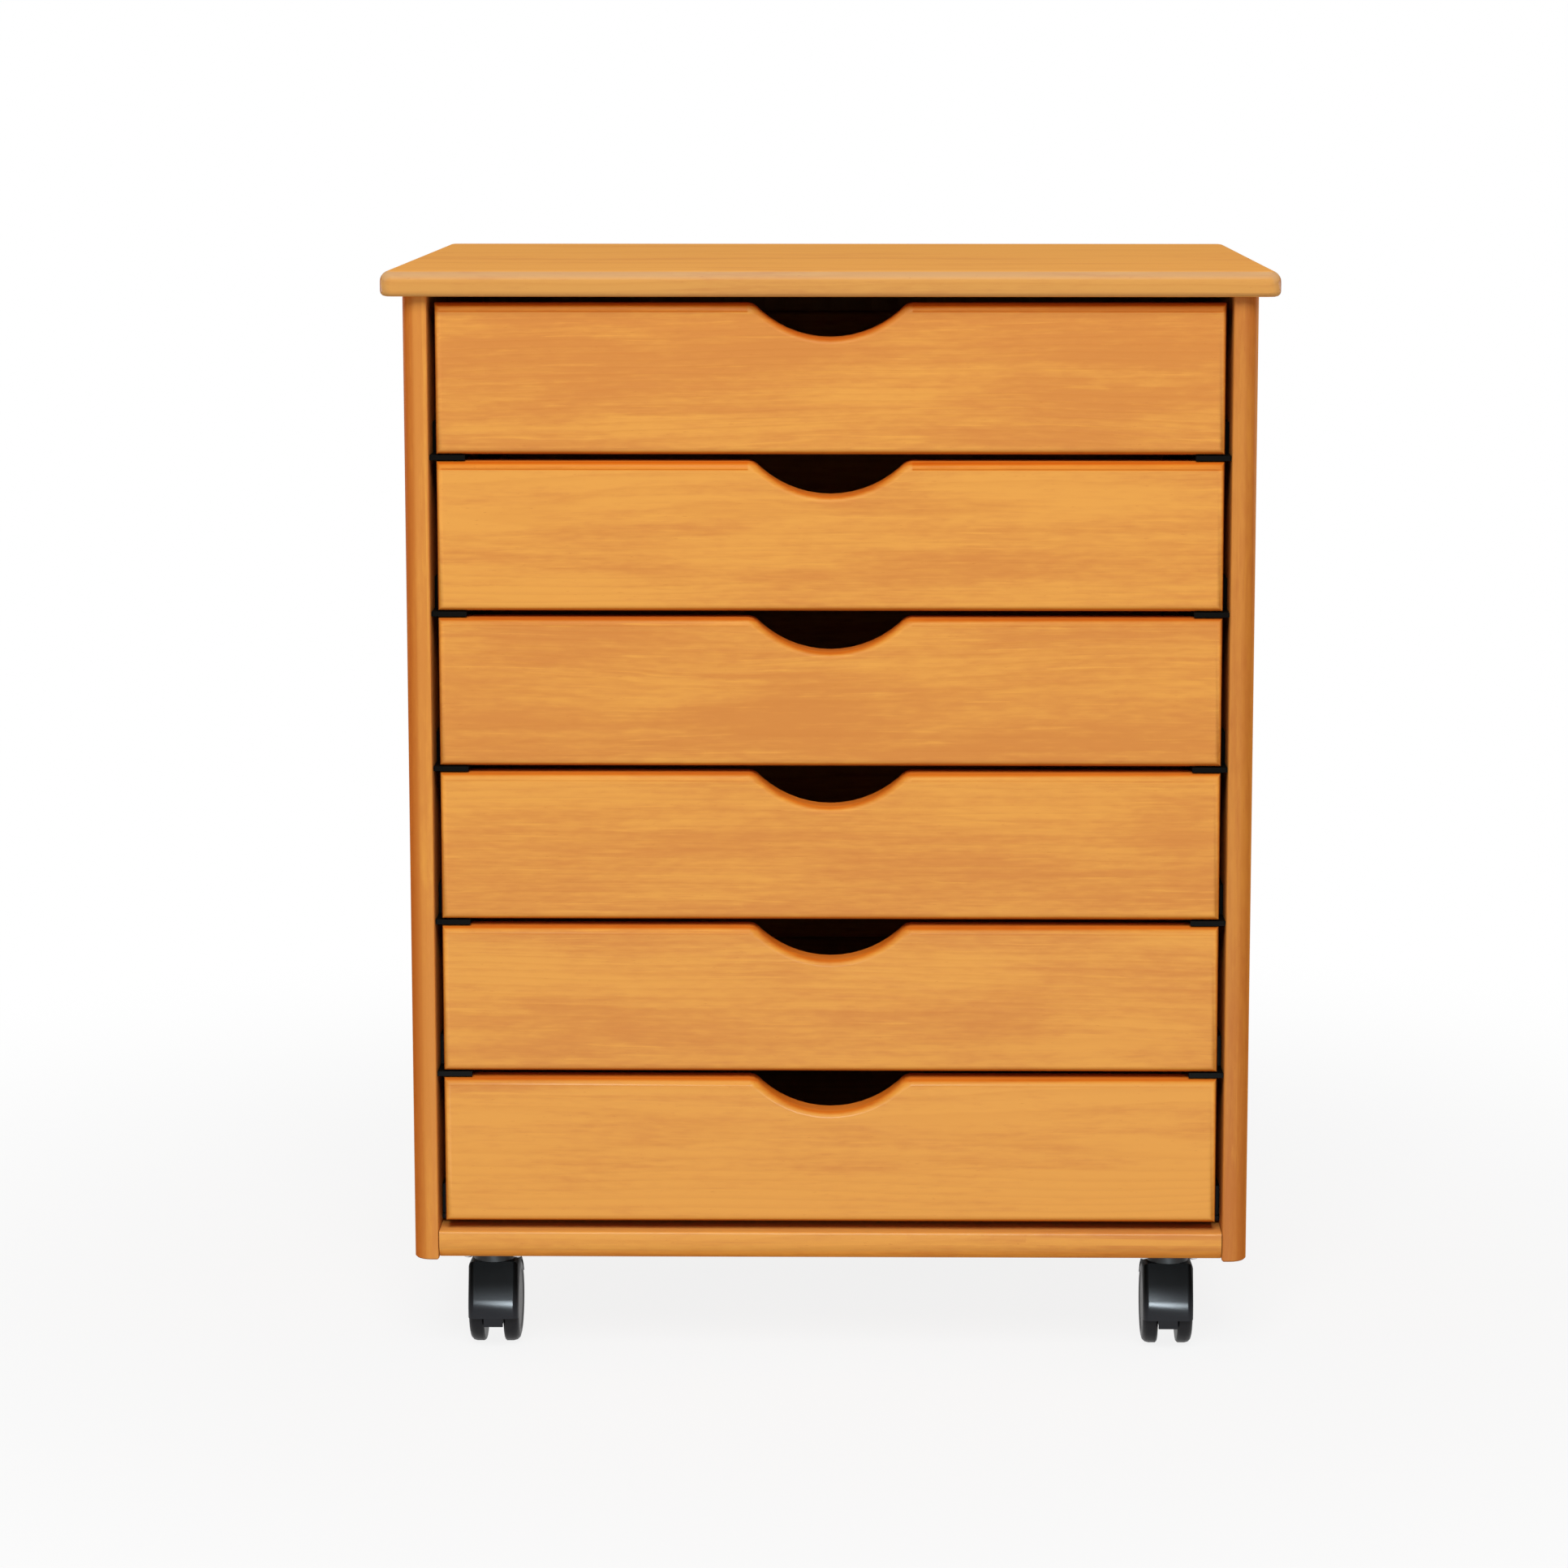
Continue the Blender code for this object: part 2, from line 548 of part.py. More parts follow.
def build_casters(plastic, steel, coated):
    plate, hood, axle = caster_plate(), caster_hood(), caster_axle()
    wheels = {name: caster_wheel(side) for name, side in SIDES.items()}
    for spot, x, y in caster_spots():
        swivel = pivot(f"caster_{spot}_swivel", (x, y, WHEEL_RADIUS))
        add(f"caster_{spot}_plate", plate, coated, (x, y, PLATE_LOW))
        add(f"caster_{spot}_hood", hood, plastic, parent=swivel)
        add(f"caster_{spot}_axle", axle, steel, (0, CASTER_TRAIL, 0), swivel)
        for name, wheel in wheels.items():
            add(f"caster_{spot}_wheel_{name}", wheel, plastic, (0, CASTER_TRAIL, 0), swivel)


def build():
    for old in list(bpy.data.objects):
        bpy.data.objects.remove(old)
    wood = material("honey_pine", (0.735, 0.314, 0.072), 0.42)
    board = material("thin_panel", (0.62, 0.33, 0.13), 0.55)
    plastic = material("black_plastic", (0.012, 0.012, 0.013), 0.3)
    steel = material("zinc_steel", (0.6, 0.6, 0.6), 0.35, 1.0)
    coated = material("black_steel", (0.018, 0.018, 0.018), 0.5)
    build_top(wood)
    build_side_panels(wood)
    build_bottom_board(wood)
    build_back(board)
    build_runners(plastic)
    build_drawers(wood, board)
    build_casters(plastic, steel, coated)


build()
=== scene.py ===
from math import atan2, cos, pi, radians, sin

import bmesh
import bpy
from mathutils import Matrix, Vector


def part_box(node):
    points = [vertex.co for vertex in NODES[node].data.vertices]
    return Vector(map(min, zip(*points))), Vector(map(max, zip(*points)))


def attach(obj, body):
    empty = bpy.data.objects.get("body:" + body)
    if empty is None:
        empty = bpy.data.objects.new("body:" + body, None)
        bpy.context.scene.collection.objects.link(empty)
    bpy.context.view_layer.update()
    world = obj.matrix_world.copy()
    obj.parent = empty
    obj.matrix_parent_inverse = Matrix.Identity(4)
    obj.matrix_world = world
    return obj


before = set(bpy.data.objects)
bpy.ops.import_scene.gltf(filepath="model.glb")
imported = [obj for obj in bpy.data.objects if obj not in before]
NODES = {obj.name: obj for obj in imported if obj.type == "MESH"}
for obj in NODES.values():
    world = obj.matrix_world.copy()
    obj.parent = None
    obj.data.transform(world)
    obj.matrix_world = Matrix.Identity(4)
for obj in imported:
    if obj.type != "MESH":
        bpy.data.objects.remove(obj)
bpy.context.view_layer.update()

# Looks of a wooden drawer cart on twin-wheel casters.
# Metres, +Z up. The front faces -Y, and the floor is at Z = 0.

MM = 0.001

# Places from the frame, and what repeats in it
BOTTOM_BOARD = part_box("bottom_panel")
DRAWERS = range(1, 7)
CASTERS = [f"{row}_{side}" for row in ("front", "rear") for side in ("left", "right")]

# Axes, as a vector numbers them
X, Y, Z = range(3)

# Finish of the meshes
MERGE = 0.01 * MM
SMOOTH_ANGLE = radians(35)


class Socket:
    """An output of a shader node that takes part in Python sums. Each sum adds its Math node."""

    def __init__(self, finish, output):
        self.finish = finish
        self.output = output

    def __add__(self, other):
        return self.finish.sum_of("ADD", self, other)

    __radd__ = __add__

    def __sub__(self, other):
        return self.finish.sum_of("SUBTRACT", self, other)

    def __rsub__(self, other):
        return self.finish.sum_of("SUBTRACT", other, self)

    def __mul__(self, other):
        return self.finish.sum_of("MULTIPLY", self, other)

    __rmul__ = __mul__

    def __truediv__(self, other):
        return self.finish.sum_of("DIVIDE", self, other)

    def __rtruediv__(self, other):
        return self.finish.sum_of("DIVIDE", other, self)

    def __pow__(self, other):
        return self.finish.sum_of("POWER", self, other)

    def __abs__(self):
        return self.finish.sum_of("ABSOLUTE", self)

    def whole(self):
        """The whole number below."""
        return self.finish.sum_of("FLOOR", self)

    def most(self, other):
        """The larger of the two."""
        return self.finish.sum_of("MAXIMUM", self, other)

    def part(self):
        """What is left over a whole number."""
        return self.finish.sum_of("FRACT", self)

    def above(self, start, full):
        """0 below start, 1 past full, and a smooth rise between. Full may lie below start."""
        return self.finish.add("ShaderNodeMapRange", {"interpolation_type": "SMOOTHSTEP", "clamp": True},
                               {"Value": self, "From Min": start, "From Max": full})


class Finish:
    """One material, made of its Principled shader and the nodes that feed it."""

    def __init__(self, name):
        self.material = bpy.data.materials.new(name)
        self.material.use_nodes = True
        self.tree = self.material.node_tree
        self.shader = self.tree.nodes["Principled BSDF"]

    def add(self, kind, settings=None, sockets=None, output=0):
        """Adds a node: its settings first, then the values or links of its sockets."""
        node = self.tree.nodes.new(kind)
        for name, value in (settings or {}).items():
            if name == "stops":
                self.set_stops(node.color_ramp, value)
            else:
                setattr(node, name, value)
        for name, value in (sockets or {}).items():
            self.feed(node.inputs[name], value)
        return Socket(self, node.outputs[output])

    def set_stops(self, ramp, stops):
        while len(ramp.elements) < len(stops):
            ramp.elements.new(1.0)
        for element, (place, grey) in zip(ramp.elements, stops):
            element.position = place
            element.color = (grey, grey, grey, 1.0)

    def feed(self, socket, value):
        if isinstance(value, Socket):
            self.tree.links.new(value.output, socket)
        else:
            socket.default_value = value

    def sum_of(self, operation, *terms):
        return self.add("ShaderNodeMath", {"operation": operation}, dict(enumerate(terms)))

    def set(self, **inputs):
        """Feeds the shader: Base_Color stands for its Base Color socket, and so on."""
        for name, value in inputs.items():
            self.feed(self.shader.inputs[name.replace("_", " ")], value)
        return self.material

    def here(self):
        """Object coordinates, as a vector."""
        return self.add("ShaderNodeTexCoord", output="Object")

    def place(self, centre):
        """Object coordinates measured from a centre, as a vector."""
        back = [-value for value in centre]
        return self.add("ShaderNodeMapping", {}, {"Vector": self.here(), "Location": back})

    def facing(self):
        """How far the surface faces along X, Y and Z, without sign."""
        normal = self.add("ShaderNodeTexCoord", output="Normal")
        return [abs(side) for side in self.split(normal)]

    def split(self, vector):
        """The three parts of a vector, from one node."""
        node = self.add("ShaderNodeSeparateXYZ", {}, {"Vector": vector}).output.node
        return [Socket(self, output) for output in node.outputs]

    def joined(self, x, y, z):
        return self.add("ShaderNodeCombineXYZ", {}, {"X": x, "Y": y, "Z": z})

    def noise(self, vector, scale=1.0, detail=2.0, roughness=0.5):
        return self.add("ShaderNodeTexNoise", {}, {
            "Vector": vector, "Scale": scale, "Detail": detail, "Roughness": roughness})

    def mixed(self, share, first, second):
        """The first colour where share is 0, and the second where it is 1."""
        return self.blended("MIX", share, first, second)

    def tinted(self, share, colour, tint):
        """The colour where share is 0, and the colour times the tint where it is 1."""
        return self.blended("MULTIPLY", share, colour, tint)

    def blended(self, way, share, first, second):
        inputs = {0: share, 6: self.colour(first), 7: self.colour(second)}
        return self.add("ShaderNodeMix", {"data_type": "RGBA", "blend_type": way}, inputs, 2)

    def colour(self, value):
        return value if isinstance(value, Socket) else (*value, 1.0)

    def bump(self, height, distance):
        return self.add("ShaderNodeBump", {}, {"Height": height, "Distance": distance, "Strength": 1.0})

    def ramp(self, stops, value):
        """A grey that runs through stops, each a place and its level."""
        return self.add("ShaderNodeValToRGB", {"stops": stops}, {"Fac": value})


# Honey-stained pine, in linear colour
PINE_YELLOW = (0.775, 0.352, 0.073)
PINE_ROSY = (0.652, 0.252, 0.058)
PINE_LATE_WOOD = (0.560, 0.185, 0.038)
# Painted shade: a darker, deeper tint for the rounded edges of the drawer boxes.
PINE_EDGE_SHADE_TINT = (0.86, 0.52, 0.25)
# Painted highlight: a pale bluish tint for the top board's upper rounded edge.
TOP_EDGE_HIGHLIGHT_TINT = (0.88, 1.05, 1.85)
# Painted reflection: a darker, bluer tint for reflected haze on the top board's narrow sides.
TOP_SIDE_HAZE_TINT = (0.85, 0.90, 1.10)
# Painted shade for the side panels' narrow sides and outer rounded edges; the right panel's narrow sides are
# tinted darker than the left's.
LEFT_SIDE_SHADE_TINT = (1.0, 0.99, 0.88)
LEFT_EDGE_SHADE_TINT = (0.76, 0.48, 0.28)
RIGHT_SIDE_SHADE_TINT = (0.80, 0.70, 0.68)
RIGHT_EDGE_SHADE_TINT = (0.87, 0.74, 0.48)
# Painted light: a tint that brightens the bottom board's lower rounded edge.
RAIL_EDGE_LIGHT_TINT = (1.25, 1.12, 0.85)
# Painted shade: a darker, deeper tint for the rounded edges of the drawer fronts.
FRONT_EDGE_SHADE_TINT = (0.90, 0.80, 0.56)
# Painted shade: a darker, deeper tint for what faces up or down on the drawer fronts, such as their edges
# and the inside of the grip.
FRONT_CROWN_SHADE_TINT = (0.86, 0.54, 0.28)
PINE_END_TINT = (0.66, 0.46, 0.32)
# Painted shade in the fronts' crease and on the band above it.
PINE_CREASE_SHADE_TINT = (0.88, 0.72, 0.50)
PINE_BRIM_SHADE_TINT = (0.95, 0.70, 0.38)
GLUE_TINT = (0.84, 0.74, 0.62)

# The layers of its figure: patches per metre along the fibres and across them, detail and roughness
SWAY = (2.2, 9, 2.0, 0.45)
WAVER = (14, 60, 2.0, 0.5)
BAND = (3.5, 62, 3.0, 0.55)
STRIPE = (6, 130, 2.0, 0.5)
STREAK = (16, 330, 2.0, 0.5)
MOTTLE = (85, 360, 2.0, 0.5)
FIBRE = (40, 1400, 3.0, 0.6)
CLOUD = (7, 30, 2.0, 0.5)
HAIRLINE = (22, 620, 0.0, 0.5)
FLECK = (190, 1300, 1.0, 0.5)

# Between which levels of its noise a layer rises from none to full
CLOUD_LEVELS = (0.28, 0.72)
HAIRLINE_LEVELS = (0.70, 0.78)
FLECK_LEVELS = (0.73, 0.80)

# How far sway and waver bend the fibres and the rings
FIBRE_SWAY = 16 * MM
FIBRE_WAVER = 2.5 * MM
RING_SWAY = 26 * MM
RING_WAVER = 1.8 * MM

# How much each layer turns the wood from yellow to rosy, and how much late wood and flecks darken it
CLOUD_SHARE = 0.5
BAND_SHARE = 0.9
STRIPE_SHARE = 0.8
STREAK_SHARE = 0.5
FIBRE_SHARE = 0.45
MOTTLE_SHARE = 0.75
HAIRLINE_SHARE = 0.25
BOARD_SHARE = 0.25
PLAIN_WARMTH = 0.25
LATE_WOOD_SHARE = 0.14
FLECK_SHARE = 0.4

# Steps from one board, and from one seed, to the next, so that no two boards are alike
BOARD_STEP = 0.618
SEED_STEP = 0.377
BOARD_OFFSET = 9.7
RUN_OFFSET = 7.3
RISE_OFFSET = 3.1

# How far a surface faces one way, from where an effect starts to where it is full
FLAT = (0.9, 0.99)
BROAD = (0.8, 0.99)
END_GRAIN = (0.75, 0.95)
CROWN = (0.40, 0.85)
BRIM = (0.2, 0.6)

# Rings, boards, edges and lacquer
RING_STOPS = [(0.0, 0.0), (0.5, 0.1), (0.9, 1.0), (1.0, 0.0)]
RING_SPACING = 4.2 * MM
HEART_DEPTH = 38 * MM
HEART_SPREAD = 60 * MM
GLUE_WIDTH = 0.25 * MM
CREASE_WIDTH = 0.7 * MM
INNER_EDGE_SHARE = 0.15
PINE_ROUGHNESS = 0.36
FIBRE_ROUGHNESS = 0.12
LATE_ROUGHNESS = 0.04
PINE_RELIEF = 0.05 * MM
LATE_RELIEF = 0.5
FIBRE_RELIEF = 0.35
STREAK_RELIEF = 0.3
CREASE_RELIEF = 3
LACQUER = 0.14
LACQUER_ROUGHNESS = 0.26
# How much the lacquer is thinned on level faces and on rounded edges, which dims their reflection
LEVEL_REFLECTION_CUT = 0.7
EDGE_REFLECTION_CUT = 0.8


def glued_boards(finish, rise, width, boards, seed):
    """Splits a panel of this width into boards that are glued edge to edge: the place across each board,
    a number from 0 to 1 that is its own, and the glue lines."""
    one = width / boards
    board = (rise / one + boards / 2).whole()
    local = rise - (board + (0.5 - boards / 2)) * one
    own = (board * BOARD_STEP + seed * SEED_STEP).part()
    rim = width / 2 - 3 * GLUE_WIDTH
    inside = 1 - abs(rise).above(rim - GLUE_WIDTH, rim)
    return local, own, abs(local).above(one / 2 - GLUE_WIDTH, one / 2) * inside


def pine_figure(finish, run, across, depth, start, heart, tone):
    """The colour of plain pine, with its late wood, fibres and streaks: rings about a heart that lies under
    the face, bent by slow sways, below layers of finer marks. Start moves the figure along its log."""

    def layer(values, flow=across):
        along, over, detail, roughness = values
        here = finish.joined(run * along + start * RUN_OFFSET, flow * over + start * RISE_OFFSET,
                             depth * over)
        return finish.noise(here, 1.0, detail, roughness)

    sway = layer(SWAY) - 0.5
    waver = layer(WAVER) - 0.5
    bent = across + sway * FIBRE_SWAY + waver * FIBRE_WAVER
    reach = ((across - heart) ** 2 + (depth + HEART_DEPTH) ** 2) ** 0.5
    ring = ((reach + sway * RING_SWAY + waver * RING_WAVER) / RING_SPACING).part()
    late = finish.ramp(RING_STOPS, ring)
    fibre = layer(FIBRE, bent)
    mottle = layer(MOTTLE, bent)
    streak = layer(STREAK, bent)
    stripe = layer(STRIPE, bent)
    band = layer(BAND, bent)
    cloud = layer(CLOUD).above(*CLOUD_LEVELS)
    hairline = layer(HAIRLINE, bent).above(*HAIRLINE_LEVELS)
    fleck = layer(FLECK).above(*FLECK_LEVELS)
    rosy = cloud * CLOUD_SHARE - hairline * HAIRLINE_SHARE + tone
    for marks, share in ((band, BAND_SHARE), (stripe, STRIPE_SHARE), (streak, STREAK_SHARE),
                         (fibre, FIBRE_SHARE), (mottle, MOTTLE_SHARE)):
        rosy = rosy + (marks - 0.5) * share
    wood = finish.mixed(rosy.above(0.0, 1.0), PINE_YELLOW, PINE_ROSY)
    wood = finish.mixed(late * LATE_WOOD_SHARE, wood, PINE_LATE_WOOD)
    wood = finish.mixed(fleck * FLECK_SHARE, wood, PINE_LATE_WOOD)
    return wood, late, fibre, streak


def creased(finish, wood, run, rise, broad, crease):
    """The wood with a crease in its broad side, painted shade along the crease's line and a deeper painted
    shade above it, and the crease's line.
    """
    height, grip_reach, depth = crease
    beside_grip = abs(run).above(grip_reach, grip_reach + 2 * CREASE_WIDTH)
    line = (1 - abs(rise - height).above(0.0, CREASE_WIDTH)) * beside_grip * depth
    line = line * broad.above(*FLAT)
    brim_shade = rise.above(height - CREASE_WIDTH, height) * beside_grip * depth ** 2
    brim_shade = brim_shade * broad.above(*BRIM)
    wood = finish.tinted(line, wood, PINE_CREASE_SHADE_TINT)
    return finish.tinted(brim_shade, wood, PINE_BRIM_SHADE_TINT), line


def honey_pine(name, node, grain, face, seed, warmth, heart=0.0, boards=1, crease=None, edge_share=1.0,
               edge_turn=0.16, edge_shading_tint=PINE_EDGE_SHADE_TINT, outer_side=0, outer_reach=(-1 * MM, 6 * MM),
               side_shading_tint=None, crown_shade_tint=None):
    """Stained softwood under satin lacquer, cut from a log of its own: grain and face are the axes that the
    fibres and the board's broad side follow, and heart is the log's middle, across the board.
    Rounded edges get the edge tint, in full where they turn by edge_turn, and with outer_side set mostly on
    that
    side of the board: painted shade on most boards, painted light on the bottom board and a painted
    highlight on the top board. The side tint paints shade on the side panels' narrow sides and a reflected
    haze on the top board's, and the crown tint paints shade on what faces up or down. A crease is given by
    its height, its distance from the middle of the grip, and its depth, which also sets the painted shade
    along it and above it."""
    finish = Finish(name)
    low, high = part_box(node)
    across = X + Y + Z - grain - face
    spot = finish.split(finish.place((low + high) / 2))
    run, rise, depth = spot[grain], spot[across], spot[face]
    local, own, glue = glued_boards(finish, rise, (high - low)[across], boards, seed)
    start, tone = seed, warmth - PLAIN_WARMTH
    if boards > 1:
        start = own * BOARD_OFFSET + seed
        heart = (own - 0.5) * HEART_SPREAD
        tone = (own - 0.5) * BOARD_SHARE + tone
    wood, late, fibre, streak = pine_figure(finish, run, local, depth, start, heart, tone)
    facing = finish.facing()
    # Painted shade on rounded edges; the bottom board gets painted light there and the top board a painted
    # highlight. With outer_side set, mostly on that side.
    rounded = (1 - facing[X].most(facing[Y]).most(facing[Z])).above(0.0, edge_turn) * edge_share
    if outer_side:
        outside = (depth * outer_side).above(*outer_reach)
        rounded = rounded * (outside * (1 - INNER_EDGE_SHARE) + INNER_EDGE_SHARE)
    wood = finish.tinted(rounded, wood, edge_shading_tint)
    # Painted shade on what faces up or down.
    if crown_shade_tint:
        wood = finish.tinted(facing[Z].above(*CROWN), wood, crown_shade_tint)
    # Painted shade on the side panels' narrow sides, and a painted reflection on the top board's.
    if side_shading_tint:
        wood = finish.tinted(1 - facing[face].above(*BROAD), wood, side_shading_tint)
    wood = finish.tinted(facing[grain].above(*END_GRAIN), wood, PINE_END_TINT)
    relief = late * LATE_RELIEF + fibre * FIBRE_RELIEF + streak * STREAK_RELIEF
    if boards > 1:
        wood = finish.tinted(glue, wood, GLUE_TINT)
    if crease:
        wood, line = creased(finish, wood, run, rise, facing[face], crease)
        relief = relief - line * CREASE_RELIEF
    # The lacquer is thinned on level faces and rounded edges, which dims their reflection.
    lacquer = LACQUER * (1 - facing[Z].above(*FLAT) * LEVEL_REFLECTION_CUT) * (1 - rounded * EDGE_REFLECTION_CUT)
    roughness = PINE_ROUGHNESS + (fibre - 0.5) * FIBRE_ROUGHNESS + late * LATE_ROUGHNESS
    return finish.set(Base_Color=wood, Roughness=roughness, Specular_IOR_Level=0.0,
                      Normal=finish.bump(relief, PINE_RELIEF),
                      Coat_Weight=lacquer, Coat_Roughness=LACQUER_ROUGHNESS)


# Thin plywood, whose plies are pale and dark in turn
PLYWOOD_PALE = (0.68, 0.385, 0.140)
PLYWOOD_DARK = (0.56, 0.285, 0.092)
PLY_TINT = (0.5, 0.42, 0.36)
PLY_PAIR = 1.25 * MM
PLY_LEVELS = (0.42, 0.58)
PLY_SIDE = (0.3, 0.8)
VENEER_SWAY = (3, 8)
VENEER_FIBRE = (30, 1300)
VENEER_SPACING = 19 * MM
VENEER_BENDS = 6
VENEER_SEED_STEP = 4
VENEER_STOPS = [(0.0, 0.0), (0.5, 0.35), (0.9, 1.0), (1.0, 0.0)]
VENEER_BAND_SHARE = 0.5
VENEER_FIBRE_SHARE = 0.6
VENEER_ROUGHNESS = 0.58
VENEER_FIBRE_ROUGHNESS = 0.2
VENEER_RELIEF = 0.04 * MM
VENEER_BAND_RELIEF = 0.4


def thin_panel(name, node, grain, face, seed):
    """Thin plywood with a peeled face veneer: broad pale figure, hardly stained."""
    finish = Finish(name)
    low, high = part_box(node)
    across = X + Y + Z - grain - face
    spot = finish.split(finish.place((low + high) / 2))
    run, rise, depth = spot[grain], spot[across], spot[face]
    along, over = VENEER_SWAY
    start = seed * VENEER_SEED_STEP
    sway = finish.noise(finish.joined(run * along + start, rise * over, depth * over), detail=3.0)
    bands = finish.ramp(VENEER_STOPS, (rise / VENEER_SPACING + sway * VENEER_BENDS).part())
    along, over = VENEER_FIBRE
    fine = finish.joined(run * along + seed, rise * over, depth * over)
    fibre = finish.noise(fine, detail=3.0, roughness=0.6)
    dark = bands * VENEER_BAND_SHARE + (fibre - 0.5) * VENEER_FIBRE_SHARE
    wood = finish.mixed(dark, PLYWOOD_PALE, PLYWOOD_DARK)
    ply = (depth / PLY_PAIR).part().above(*PLY_LEVELS)
    edge = 1 - finish.facing()[face].above(*PLY_SIDE)
    wood = finish.tinted(edge * ply, wood, PLY_TINT)
    relief = fibre + bands * VENEER_BAND_RELIEF
    return finish.set(Base_Color=wood, Roughness=VENEER_ROUGHNESS + (fibre - 0.5) * VENEER_FIBRE_ROUGHNESS,
                      Normal=finish.bump(relief, VENEER_RELIEF))


# Plastics, in linear colour
# The hood is darker up high as painted shade under the board, and paler and bluish at its foot as a painted
# reflection of the floor.
HOOD_SHADED_BLACK = (0.003, 0.003, 0.003)
HOOD_REFLECTION_FOOT = (0.013, 0.014, 0.018)
HOOD_SHADE_HEIGHT = 43 * MM
HOOD_REFLECTION_HEIGHT = 17 * MM
WHEEL_BLACK = (0.0146, 0.0146, 0.0168)
RUNNER_BLACK = (0.002, 0.002, 0.002)
RUNNER_LINES = (0.005, 0.005, 0.004)
SHADED_GLOSS_SHARE = 0.03
EVEN_SHARE = 0.6
PLASTIC_SPECULAR = 0.02
PLASTIC_COAT = 0.42
PLASTIC_COAT_ROUGHNESS = 0.19
PLASTIC_ROUGHNESS = 0.45
RIPPLE_ROUGHNESS = 0.1
SCUFF_ROUGHNESS = 0.15
SCUFF_COAT_LOSS = 0.01
SCUFF_LEVELS = (0.60, 0.78)
MOULD_RELIEF = 0.03 * MM
RIPPLE_RELIEF = 0.6
MOULD_GRAIN_RELIEF = 0.4
RUNNER_SPECULAR = 0.04
DRAWN_ROUGHNESS = 0.2
DRAWN_RELIEF = 0.02 * MM

# How fine the marks on the plastics are, in patches per metre
RIPPLES = 90.0
MOULD_GRAINS = 2600.0
SCUFFS = 240
DRAW_LINES = (1600, 9)


def black_plastic(name, colour, foot=None):
    """Moulded nylon with the faint ripple and grain of its mould. With a colour for its foot it is darker
    and dull further up, as painted shade under the board, and paler, bluish and semi-gloss at its foot, as a
    painted reflection of the floor; without one it is even all over."""
    finish = Finish(name)
    here = finish.here()
    x, y, z = finish.split(here)
    ripple = finish.noise(here, RIPPLES)
    grain = finish.noise(here, MOULD_GRAINS)
    scuff = finish.noise(finish.joined(x * SCUFFS, y * SCUFFS, z * SCUFFS), detail=4.0, roughness=0.7)
    scuff = scuff.above(*SCUFF_LEVELS)
    base, gloss = finish.colour(colour), EVEN_SHARE
    if foot:
        # Painted shade: darker and duller further up; painted reflection: paler, bluish and glossier at the
        # foot.
        low = z.above(HOOD_SHADE_HEIGHT, HOOD_REFLECTION_HEIGHT)
        base, gloss = finish.mixed(low, colour, foot), low * (1 - SHADED_GLOSS_SHARE) + SHADED_GLOSS_SHARE
    roughness = PLASTIC_ROUGHNESS + (ripple - 0.5) * RIPPLE_ROUGHNESS + scuff * SCUFF_ROUGHNESS
    relief = ripple * RIPPLE_RELIEF + grain * MOULD_GRAIN_RELIEF
    return finish.set(Base_Color=base, Roughness=roughness, Specular_IOR_Level=PLASTIC_SPECULAR,
                      Normal=finish.bump(relief, MOULD_RELIEF),
                      Coat_Weight=gloss * PLASTIC_COAT - scuff * SCUFF_COAT_LOSS,
                      Coat_Roughness=PLASTIC_COAT_ROUGHNESS)


def runner_plastic():
    """Extruded black plastic, satin along its draw lines."""
    finish = Finish("runner_plastic")
    x, y, z = finish.split(finish.here())
    over, along = DRAW_LINES
    line = finish.noise(finish.joined(x * over, y * along, z * over), detail=3.0, roughness=0.6)
    base = finish.mixed(line, RUNNER_BLACK, RUNNER_LINES)
    roughness = PLASTIC_ROUGHNESS + (line - 0.5) * DRAWN_ROUGHNESS
    return finish.set(Base_Color=base, Roughness=roughness, Specular_IOR_Level=RUNNER_SPECULAR,
                      Normal=finish.bump(line, DRAWN_RELIEF))


# Steels, in linear colour
ZINC_DULL = (0.56, 0.57, 0.58)
ZINC_BRIGHT = (0.72, 0.72, 0.71)
COAT_BLACK = (0.012, 0.012, 0.012)
COAT_RUBBED = (0.040, 0.039, 0.037)
ZINC_ROUGHNESS = 0.30
ROLLED_ROUGHNESS = 0.2
SPANGLE_ROUGHNESS = 0.12
COAT_SPECULAR = 0.35
COAT_ROUGHNESS = 0.48
PEEL_ROUGHNESS = 0.1
RUB_SMOOTHING = 0.1
RUB_LEVELS = (0.58, 0.76)
RUB_SHARE = 0.6
ROLLED_RELIEF = 0.01 * MM
PEEL_RELIEF = 0.02 * MM

# How fine the marks on the steels are, in patches per metre
ROLLING_LINES = (60, 2400)
SPANGLES = 380.0
PEELS = 900.0
RUBS = 140.0


def zinc_steel():
    """Bright zinc on pressed steel, with faint rolling lines and small spangles."""
    finish = Finish("zinc_steel")
    here = finish.here()
    x, y, z = finish.split(here)
    along, over = ROLLING_LINES
    rolled = finish.noise(finish.joined(x * along, y * over, z * over))
    spangle = finish.noise(here, SPANGLES, detail=1.0)
    base = finish.mixed(spangle, ZINC_DULL, ZINC_BRIGHT)
    roughness = ZINC_ROUGHNESS + (rolled - 0.5) * ROLLED_ROUGHNESS + (spangle - 0.5) * SPANGLE_ROUGHNESS
    return finish.set(Base_Color=base, Metallic=1.0, Roughness=roughness,
                      Normal=finish.bump(rolled, ROLLED_RELIEF))


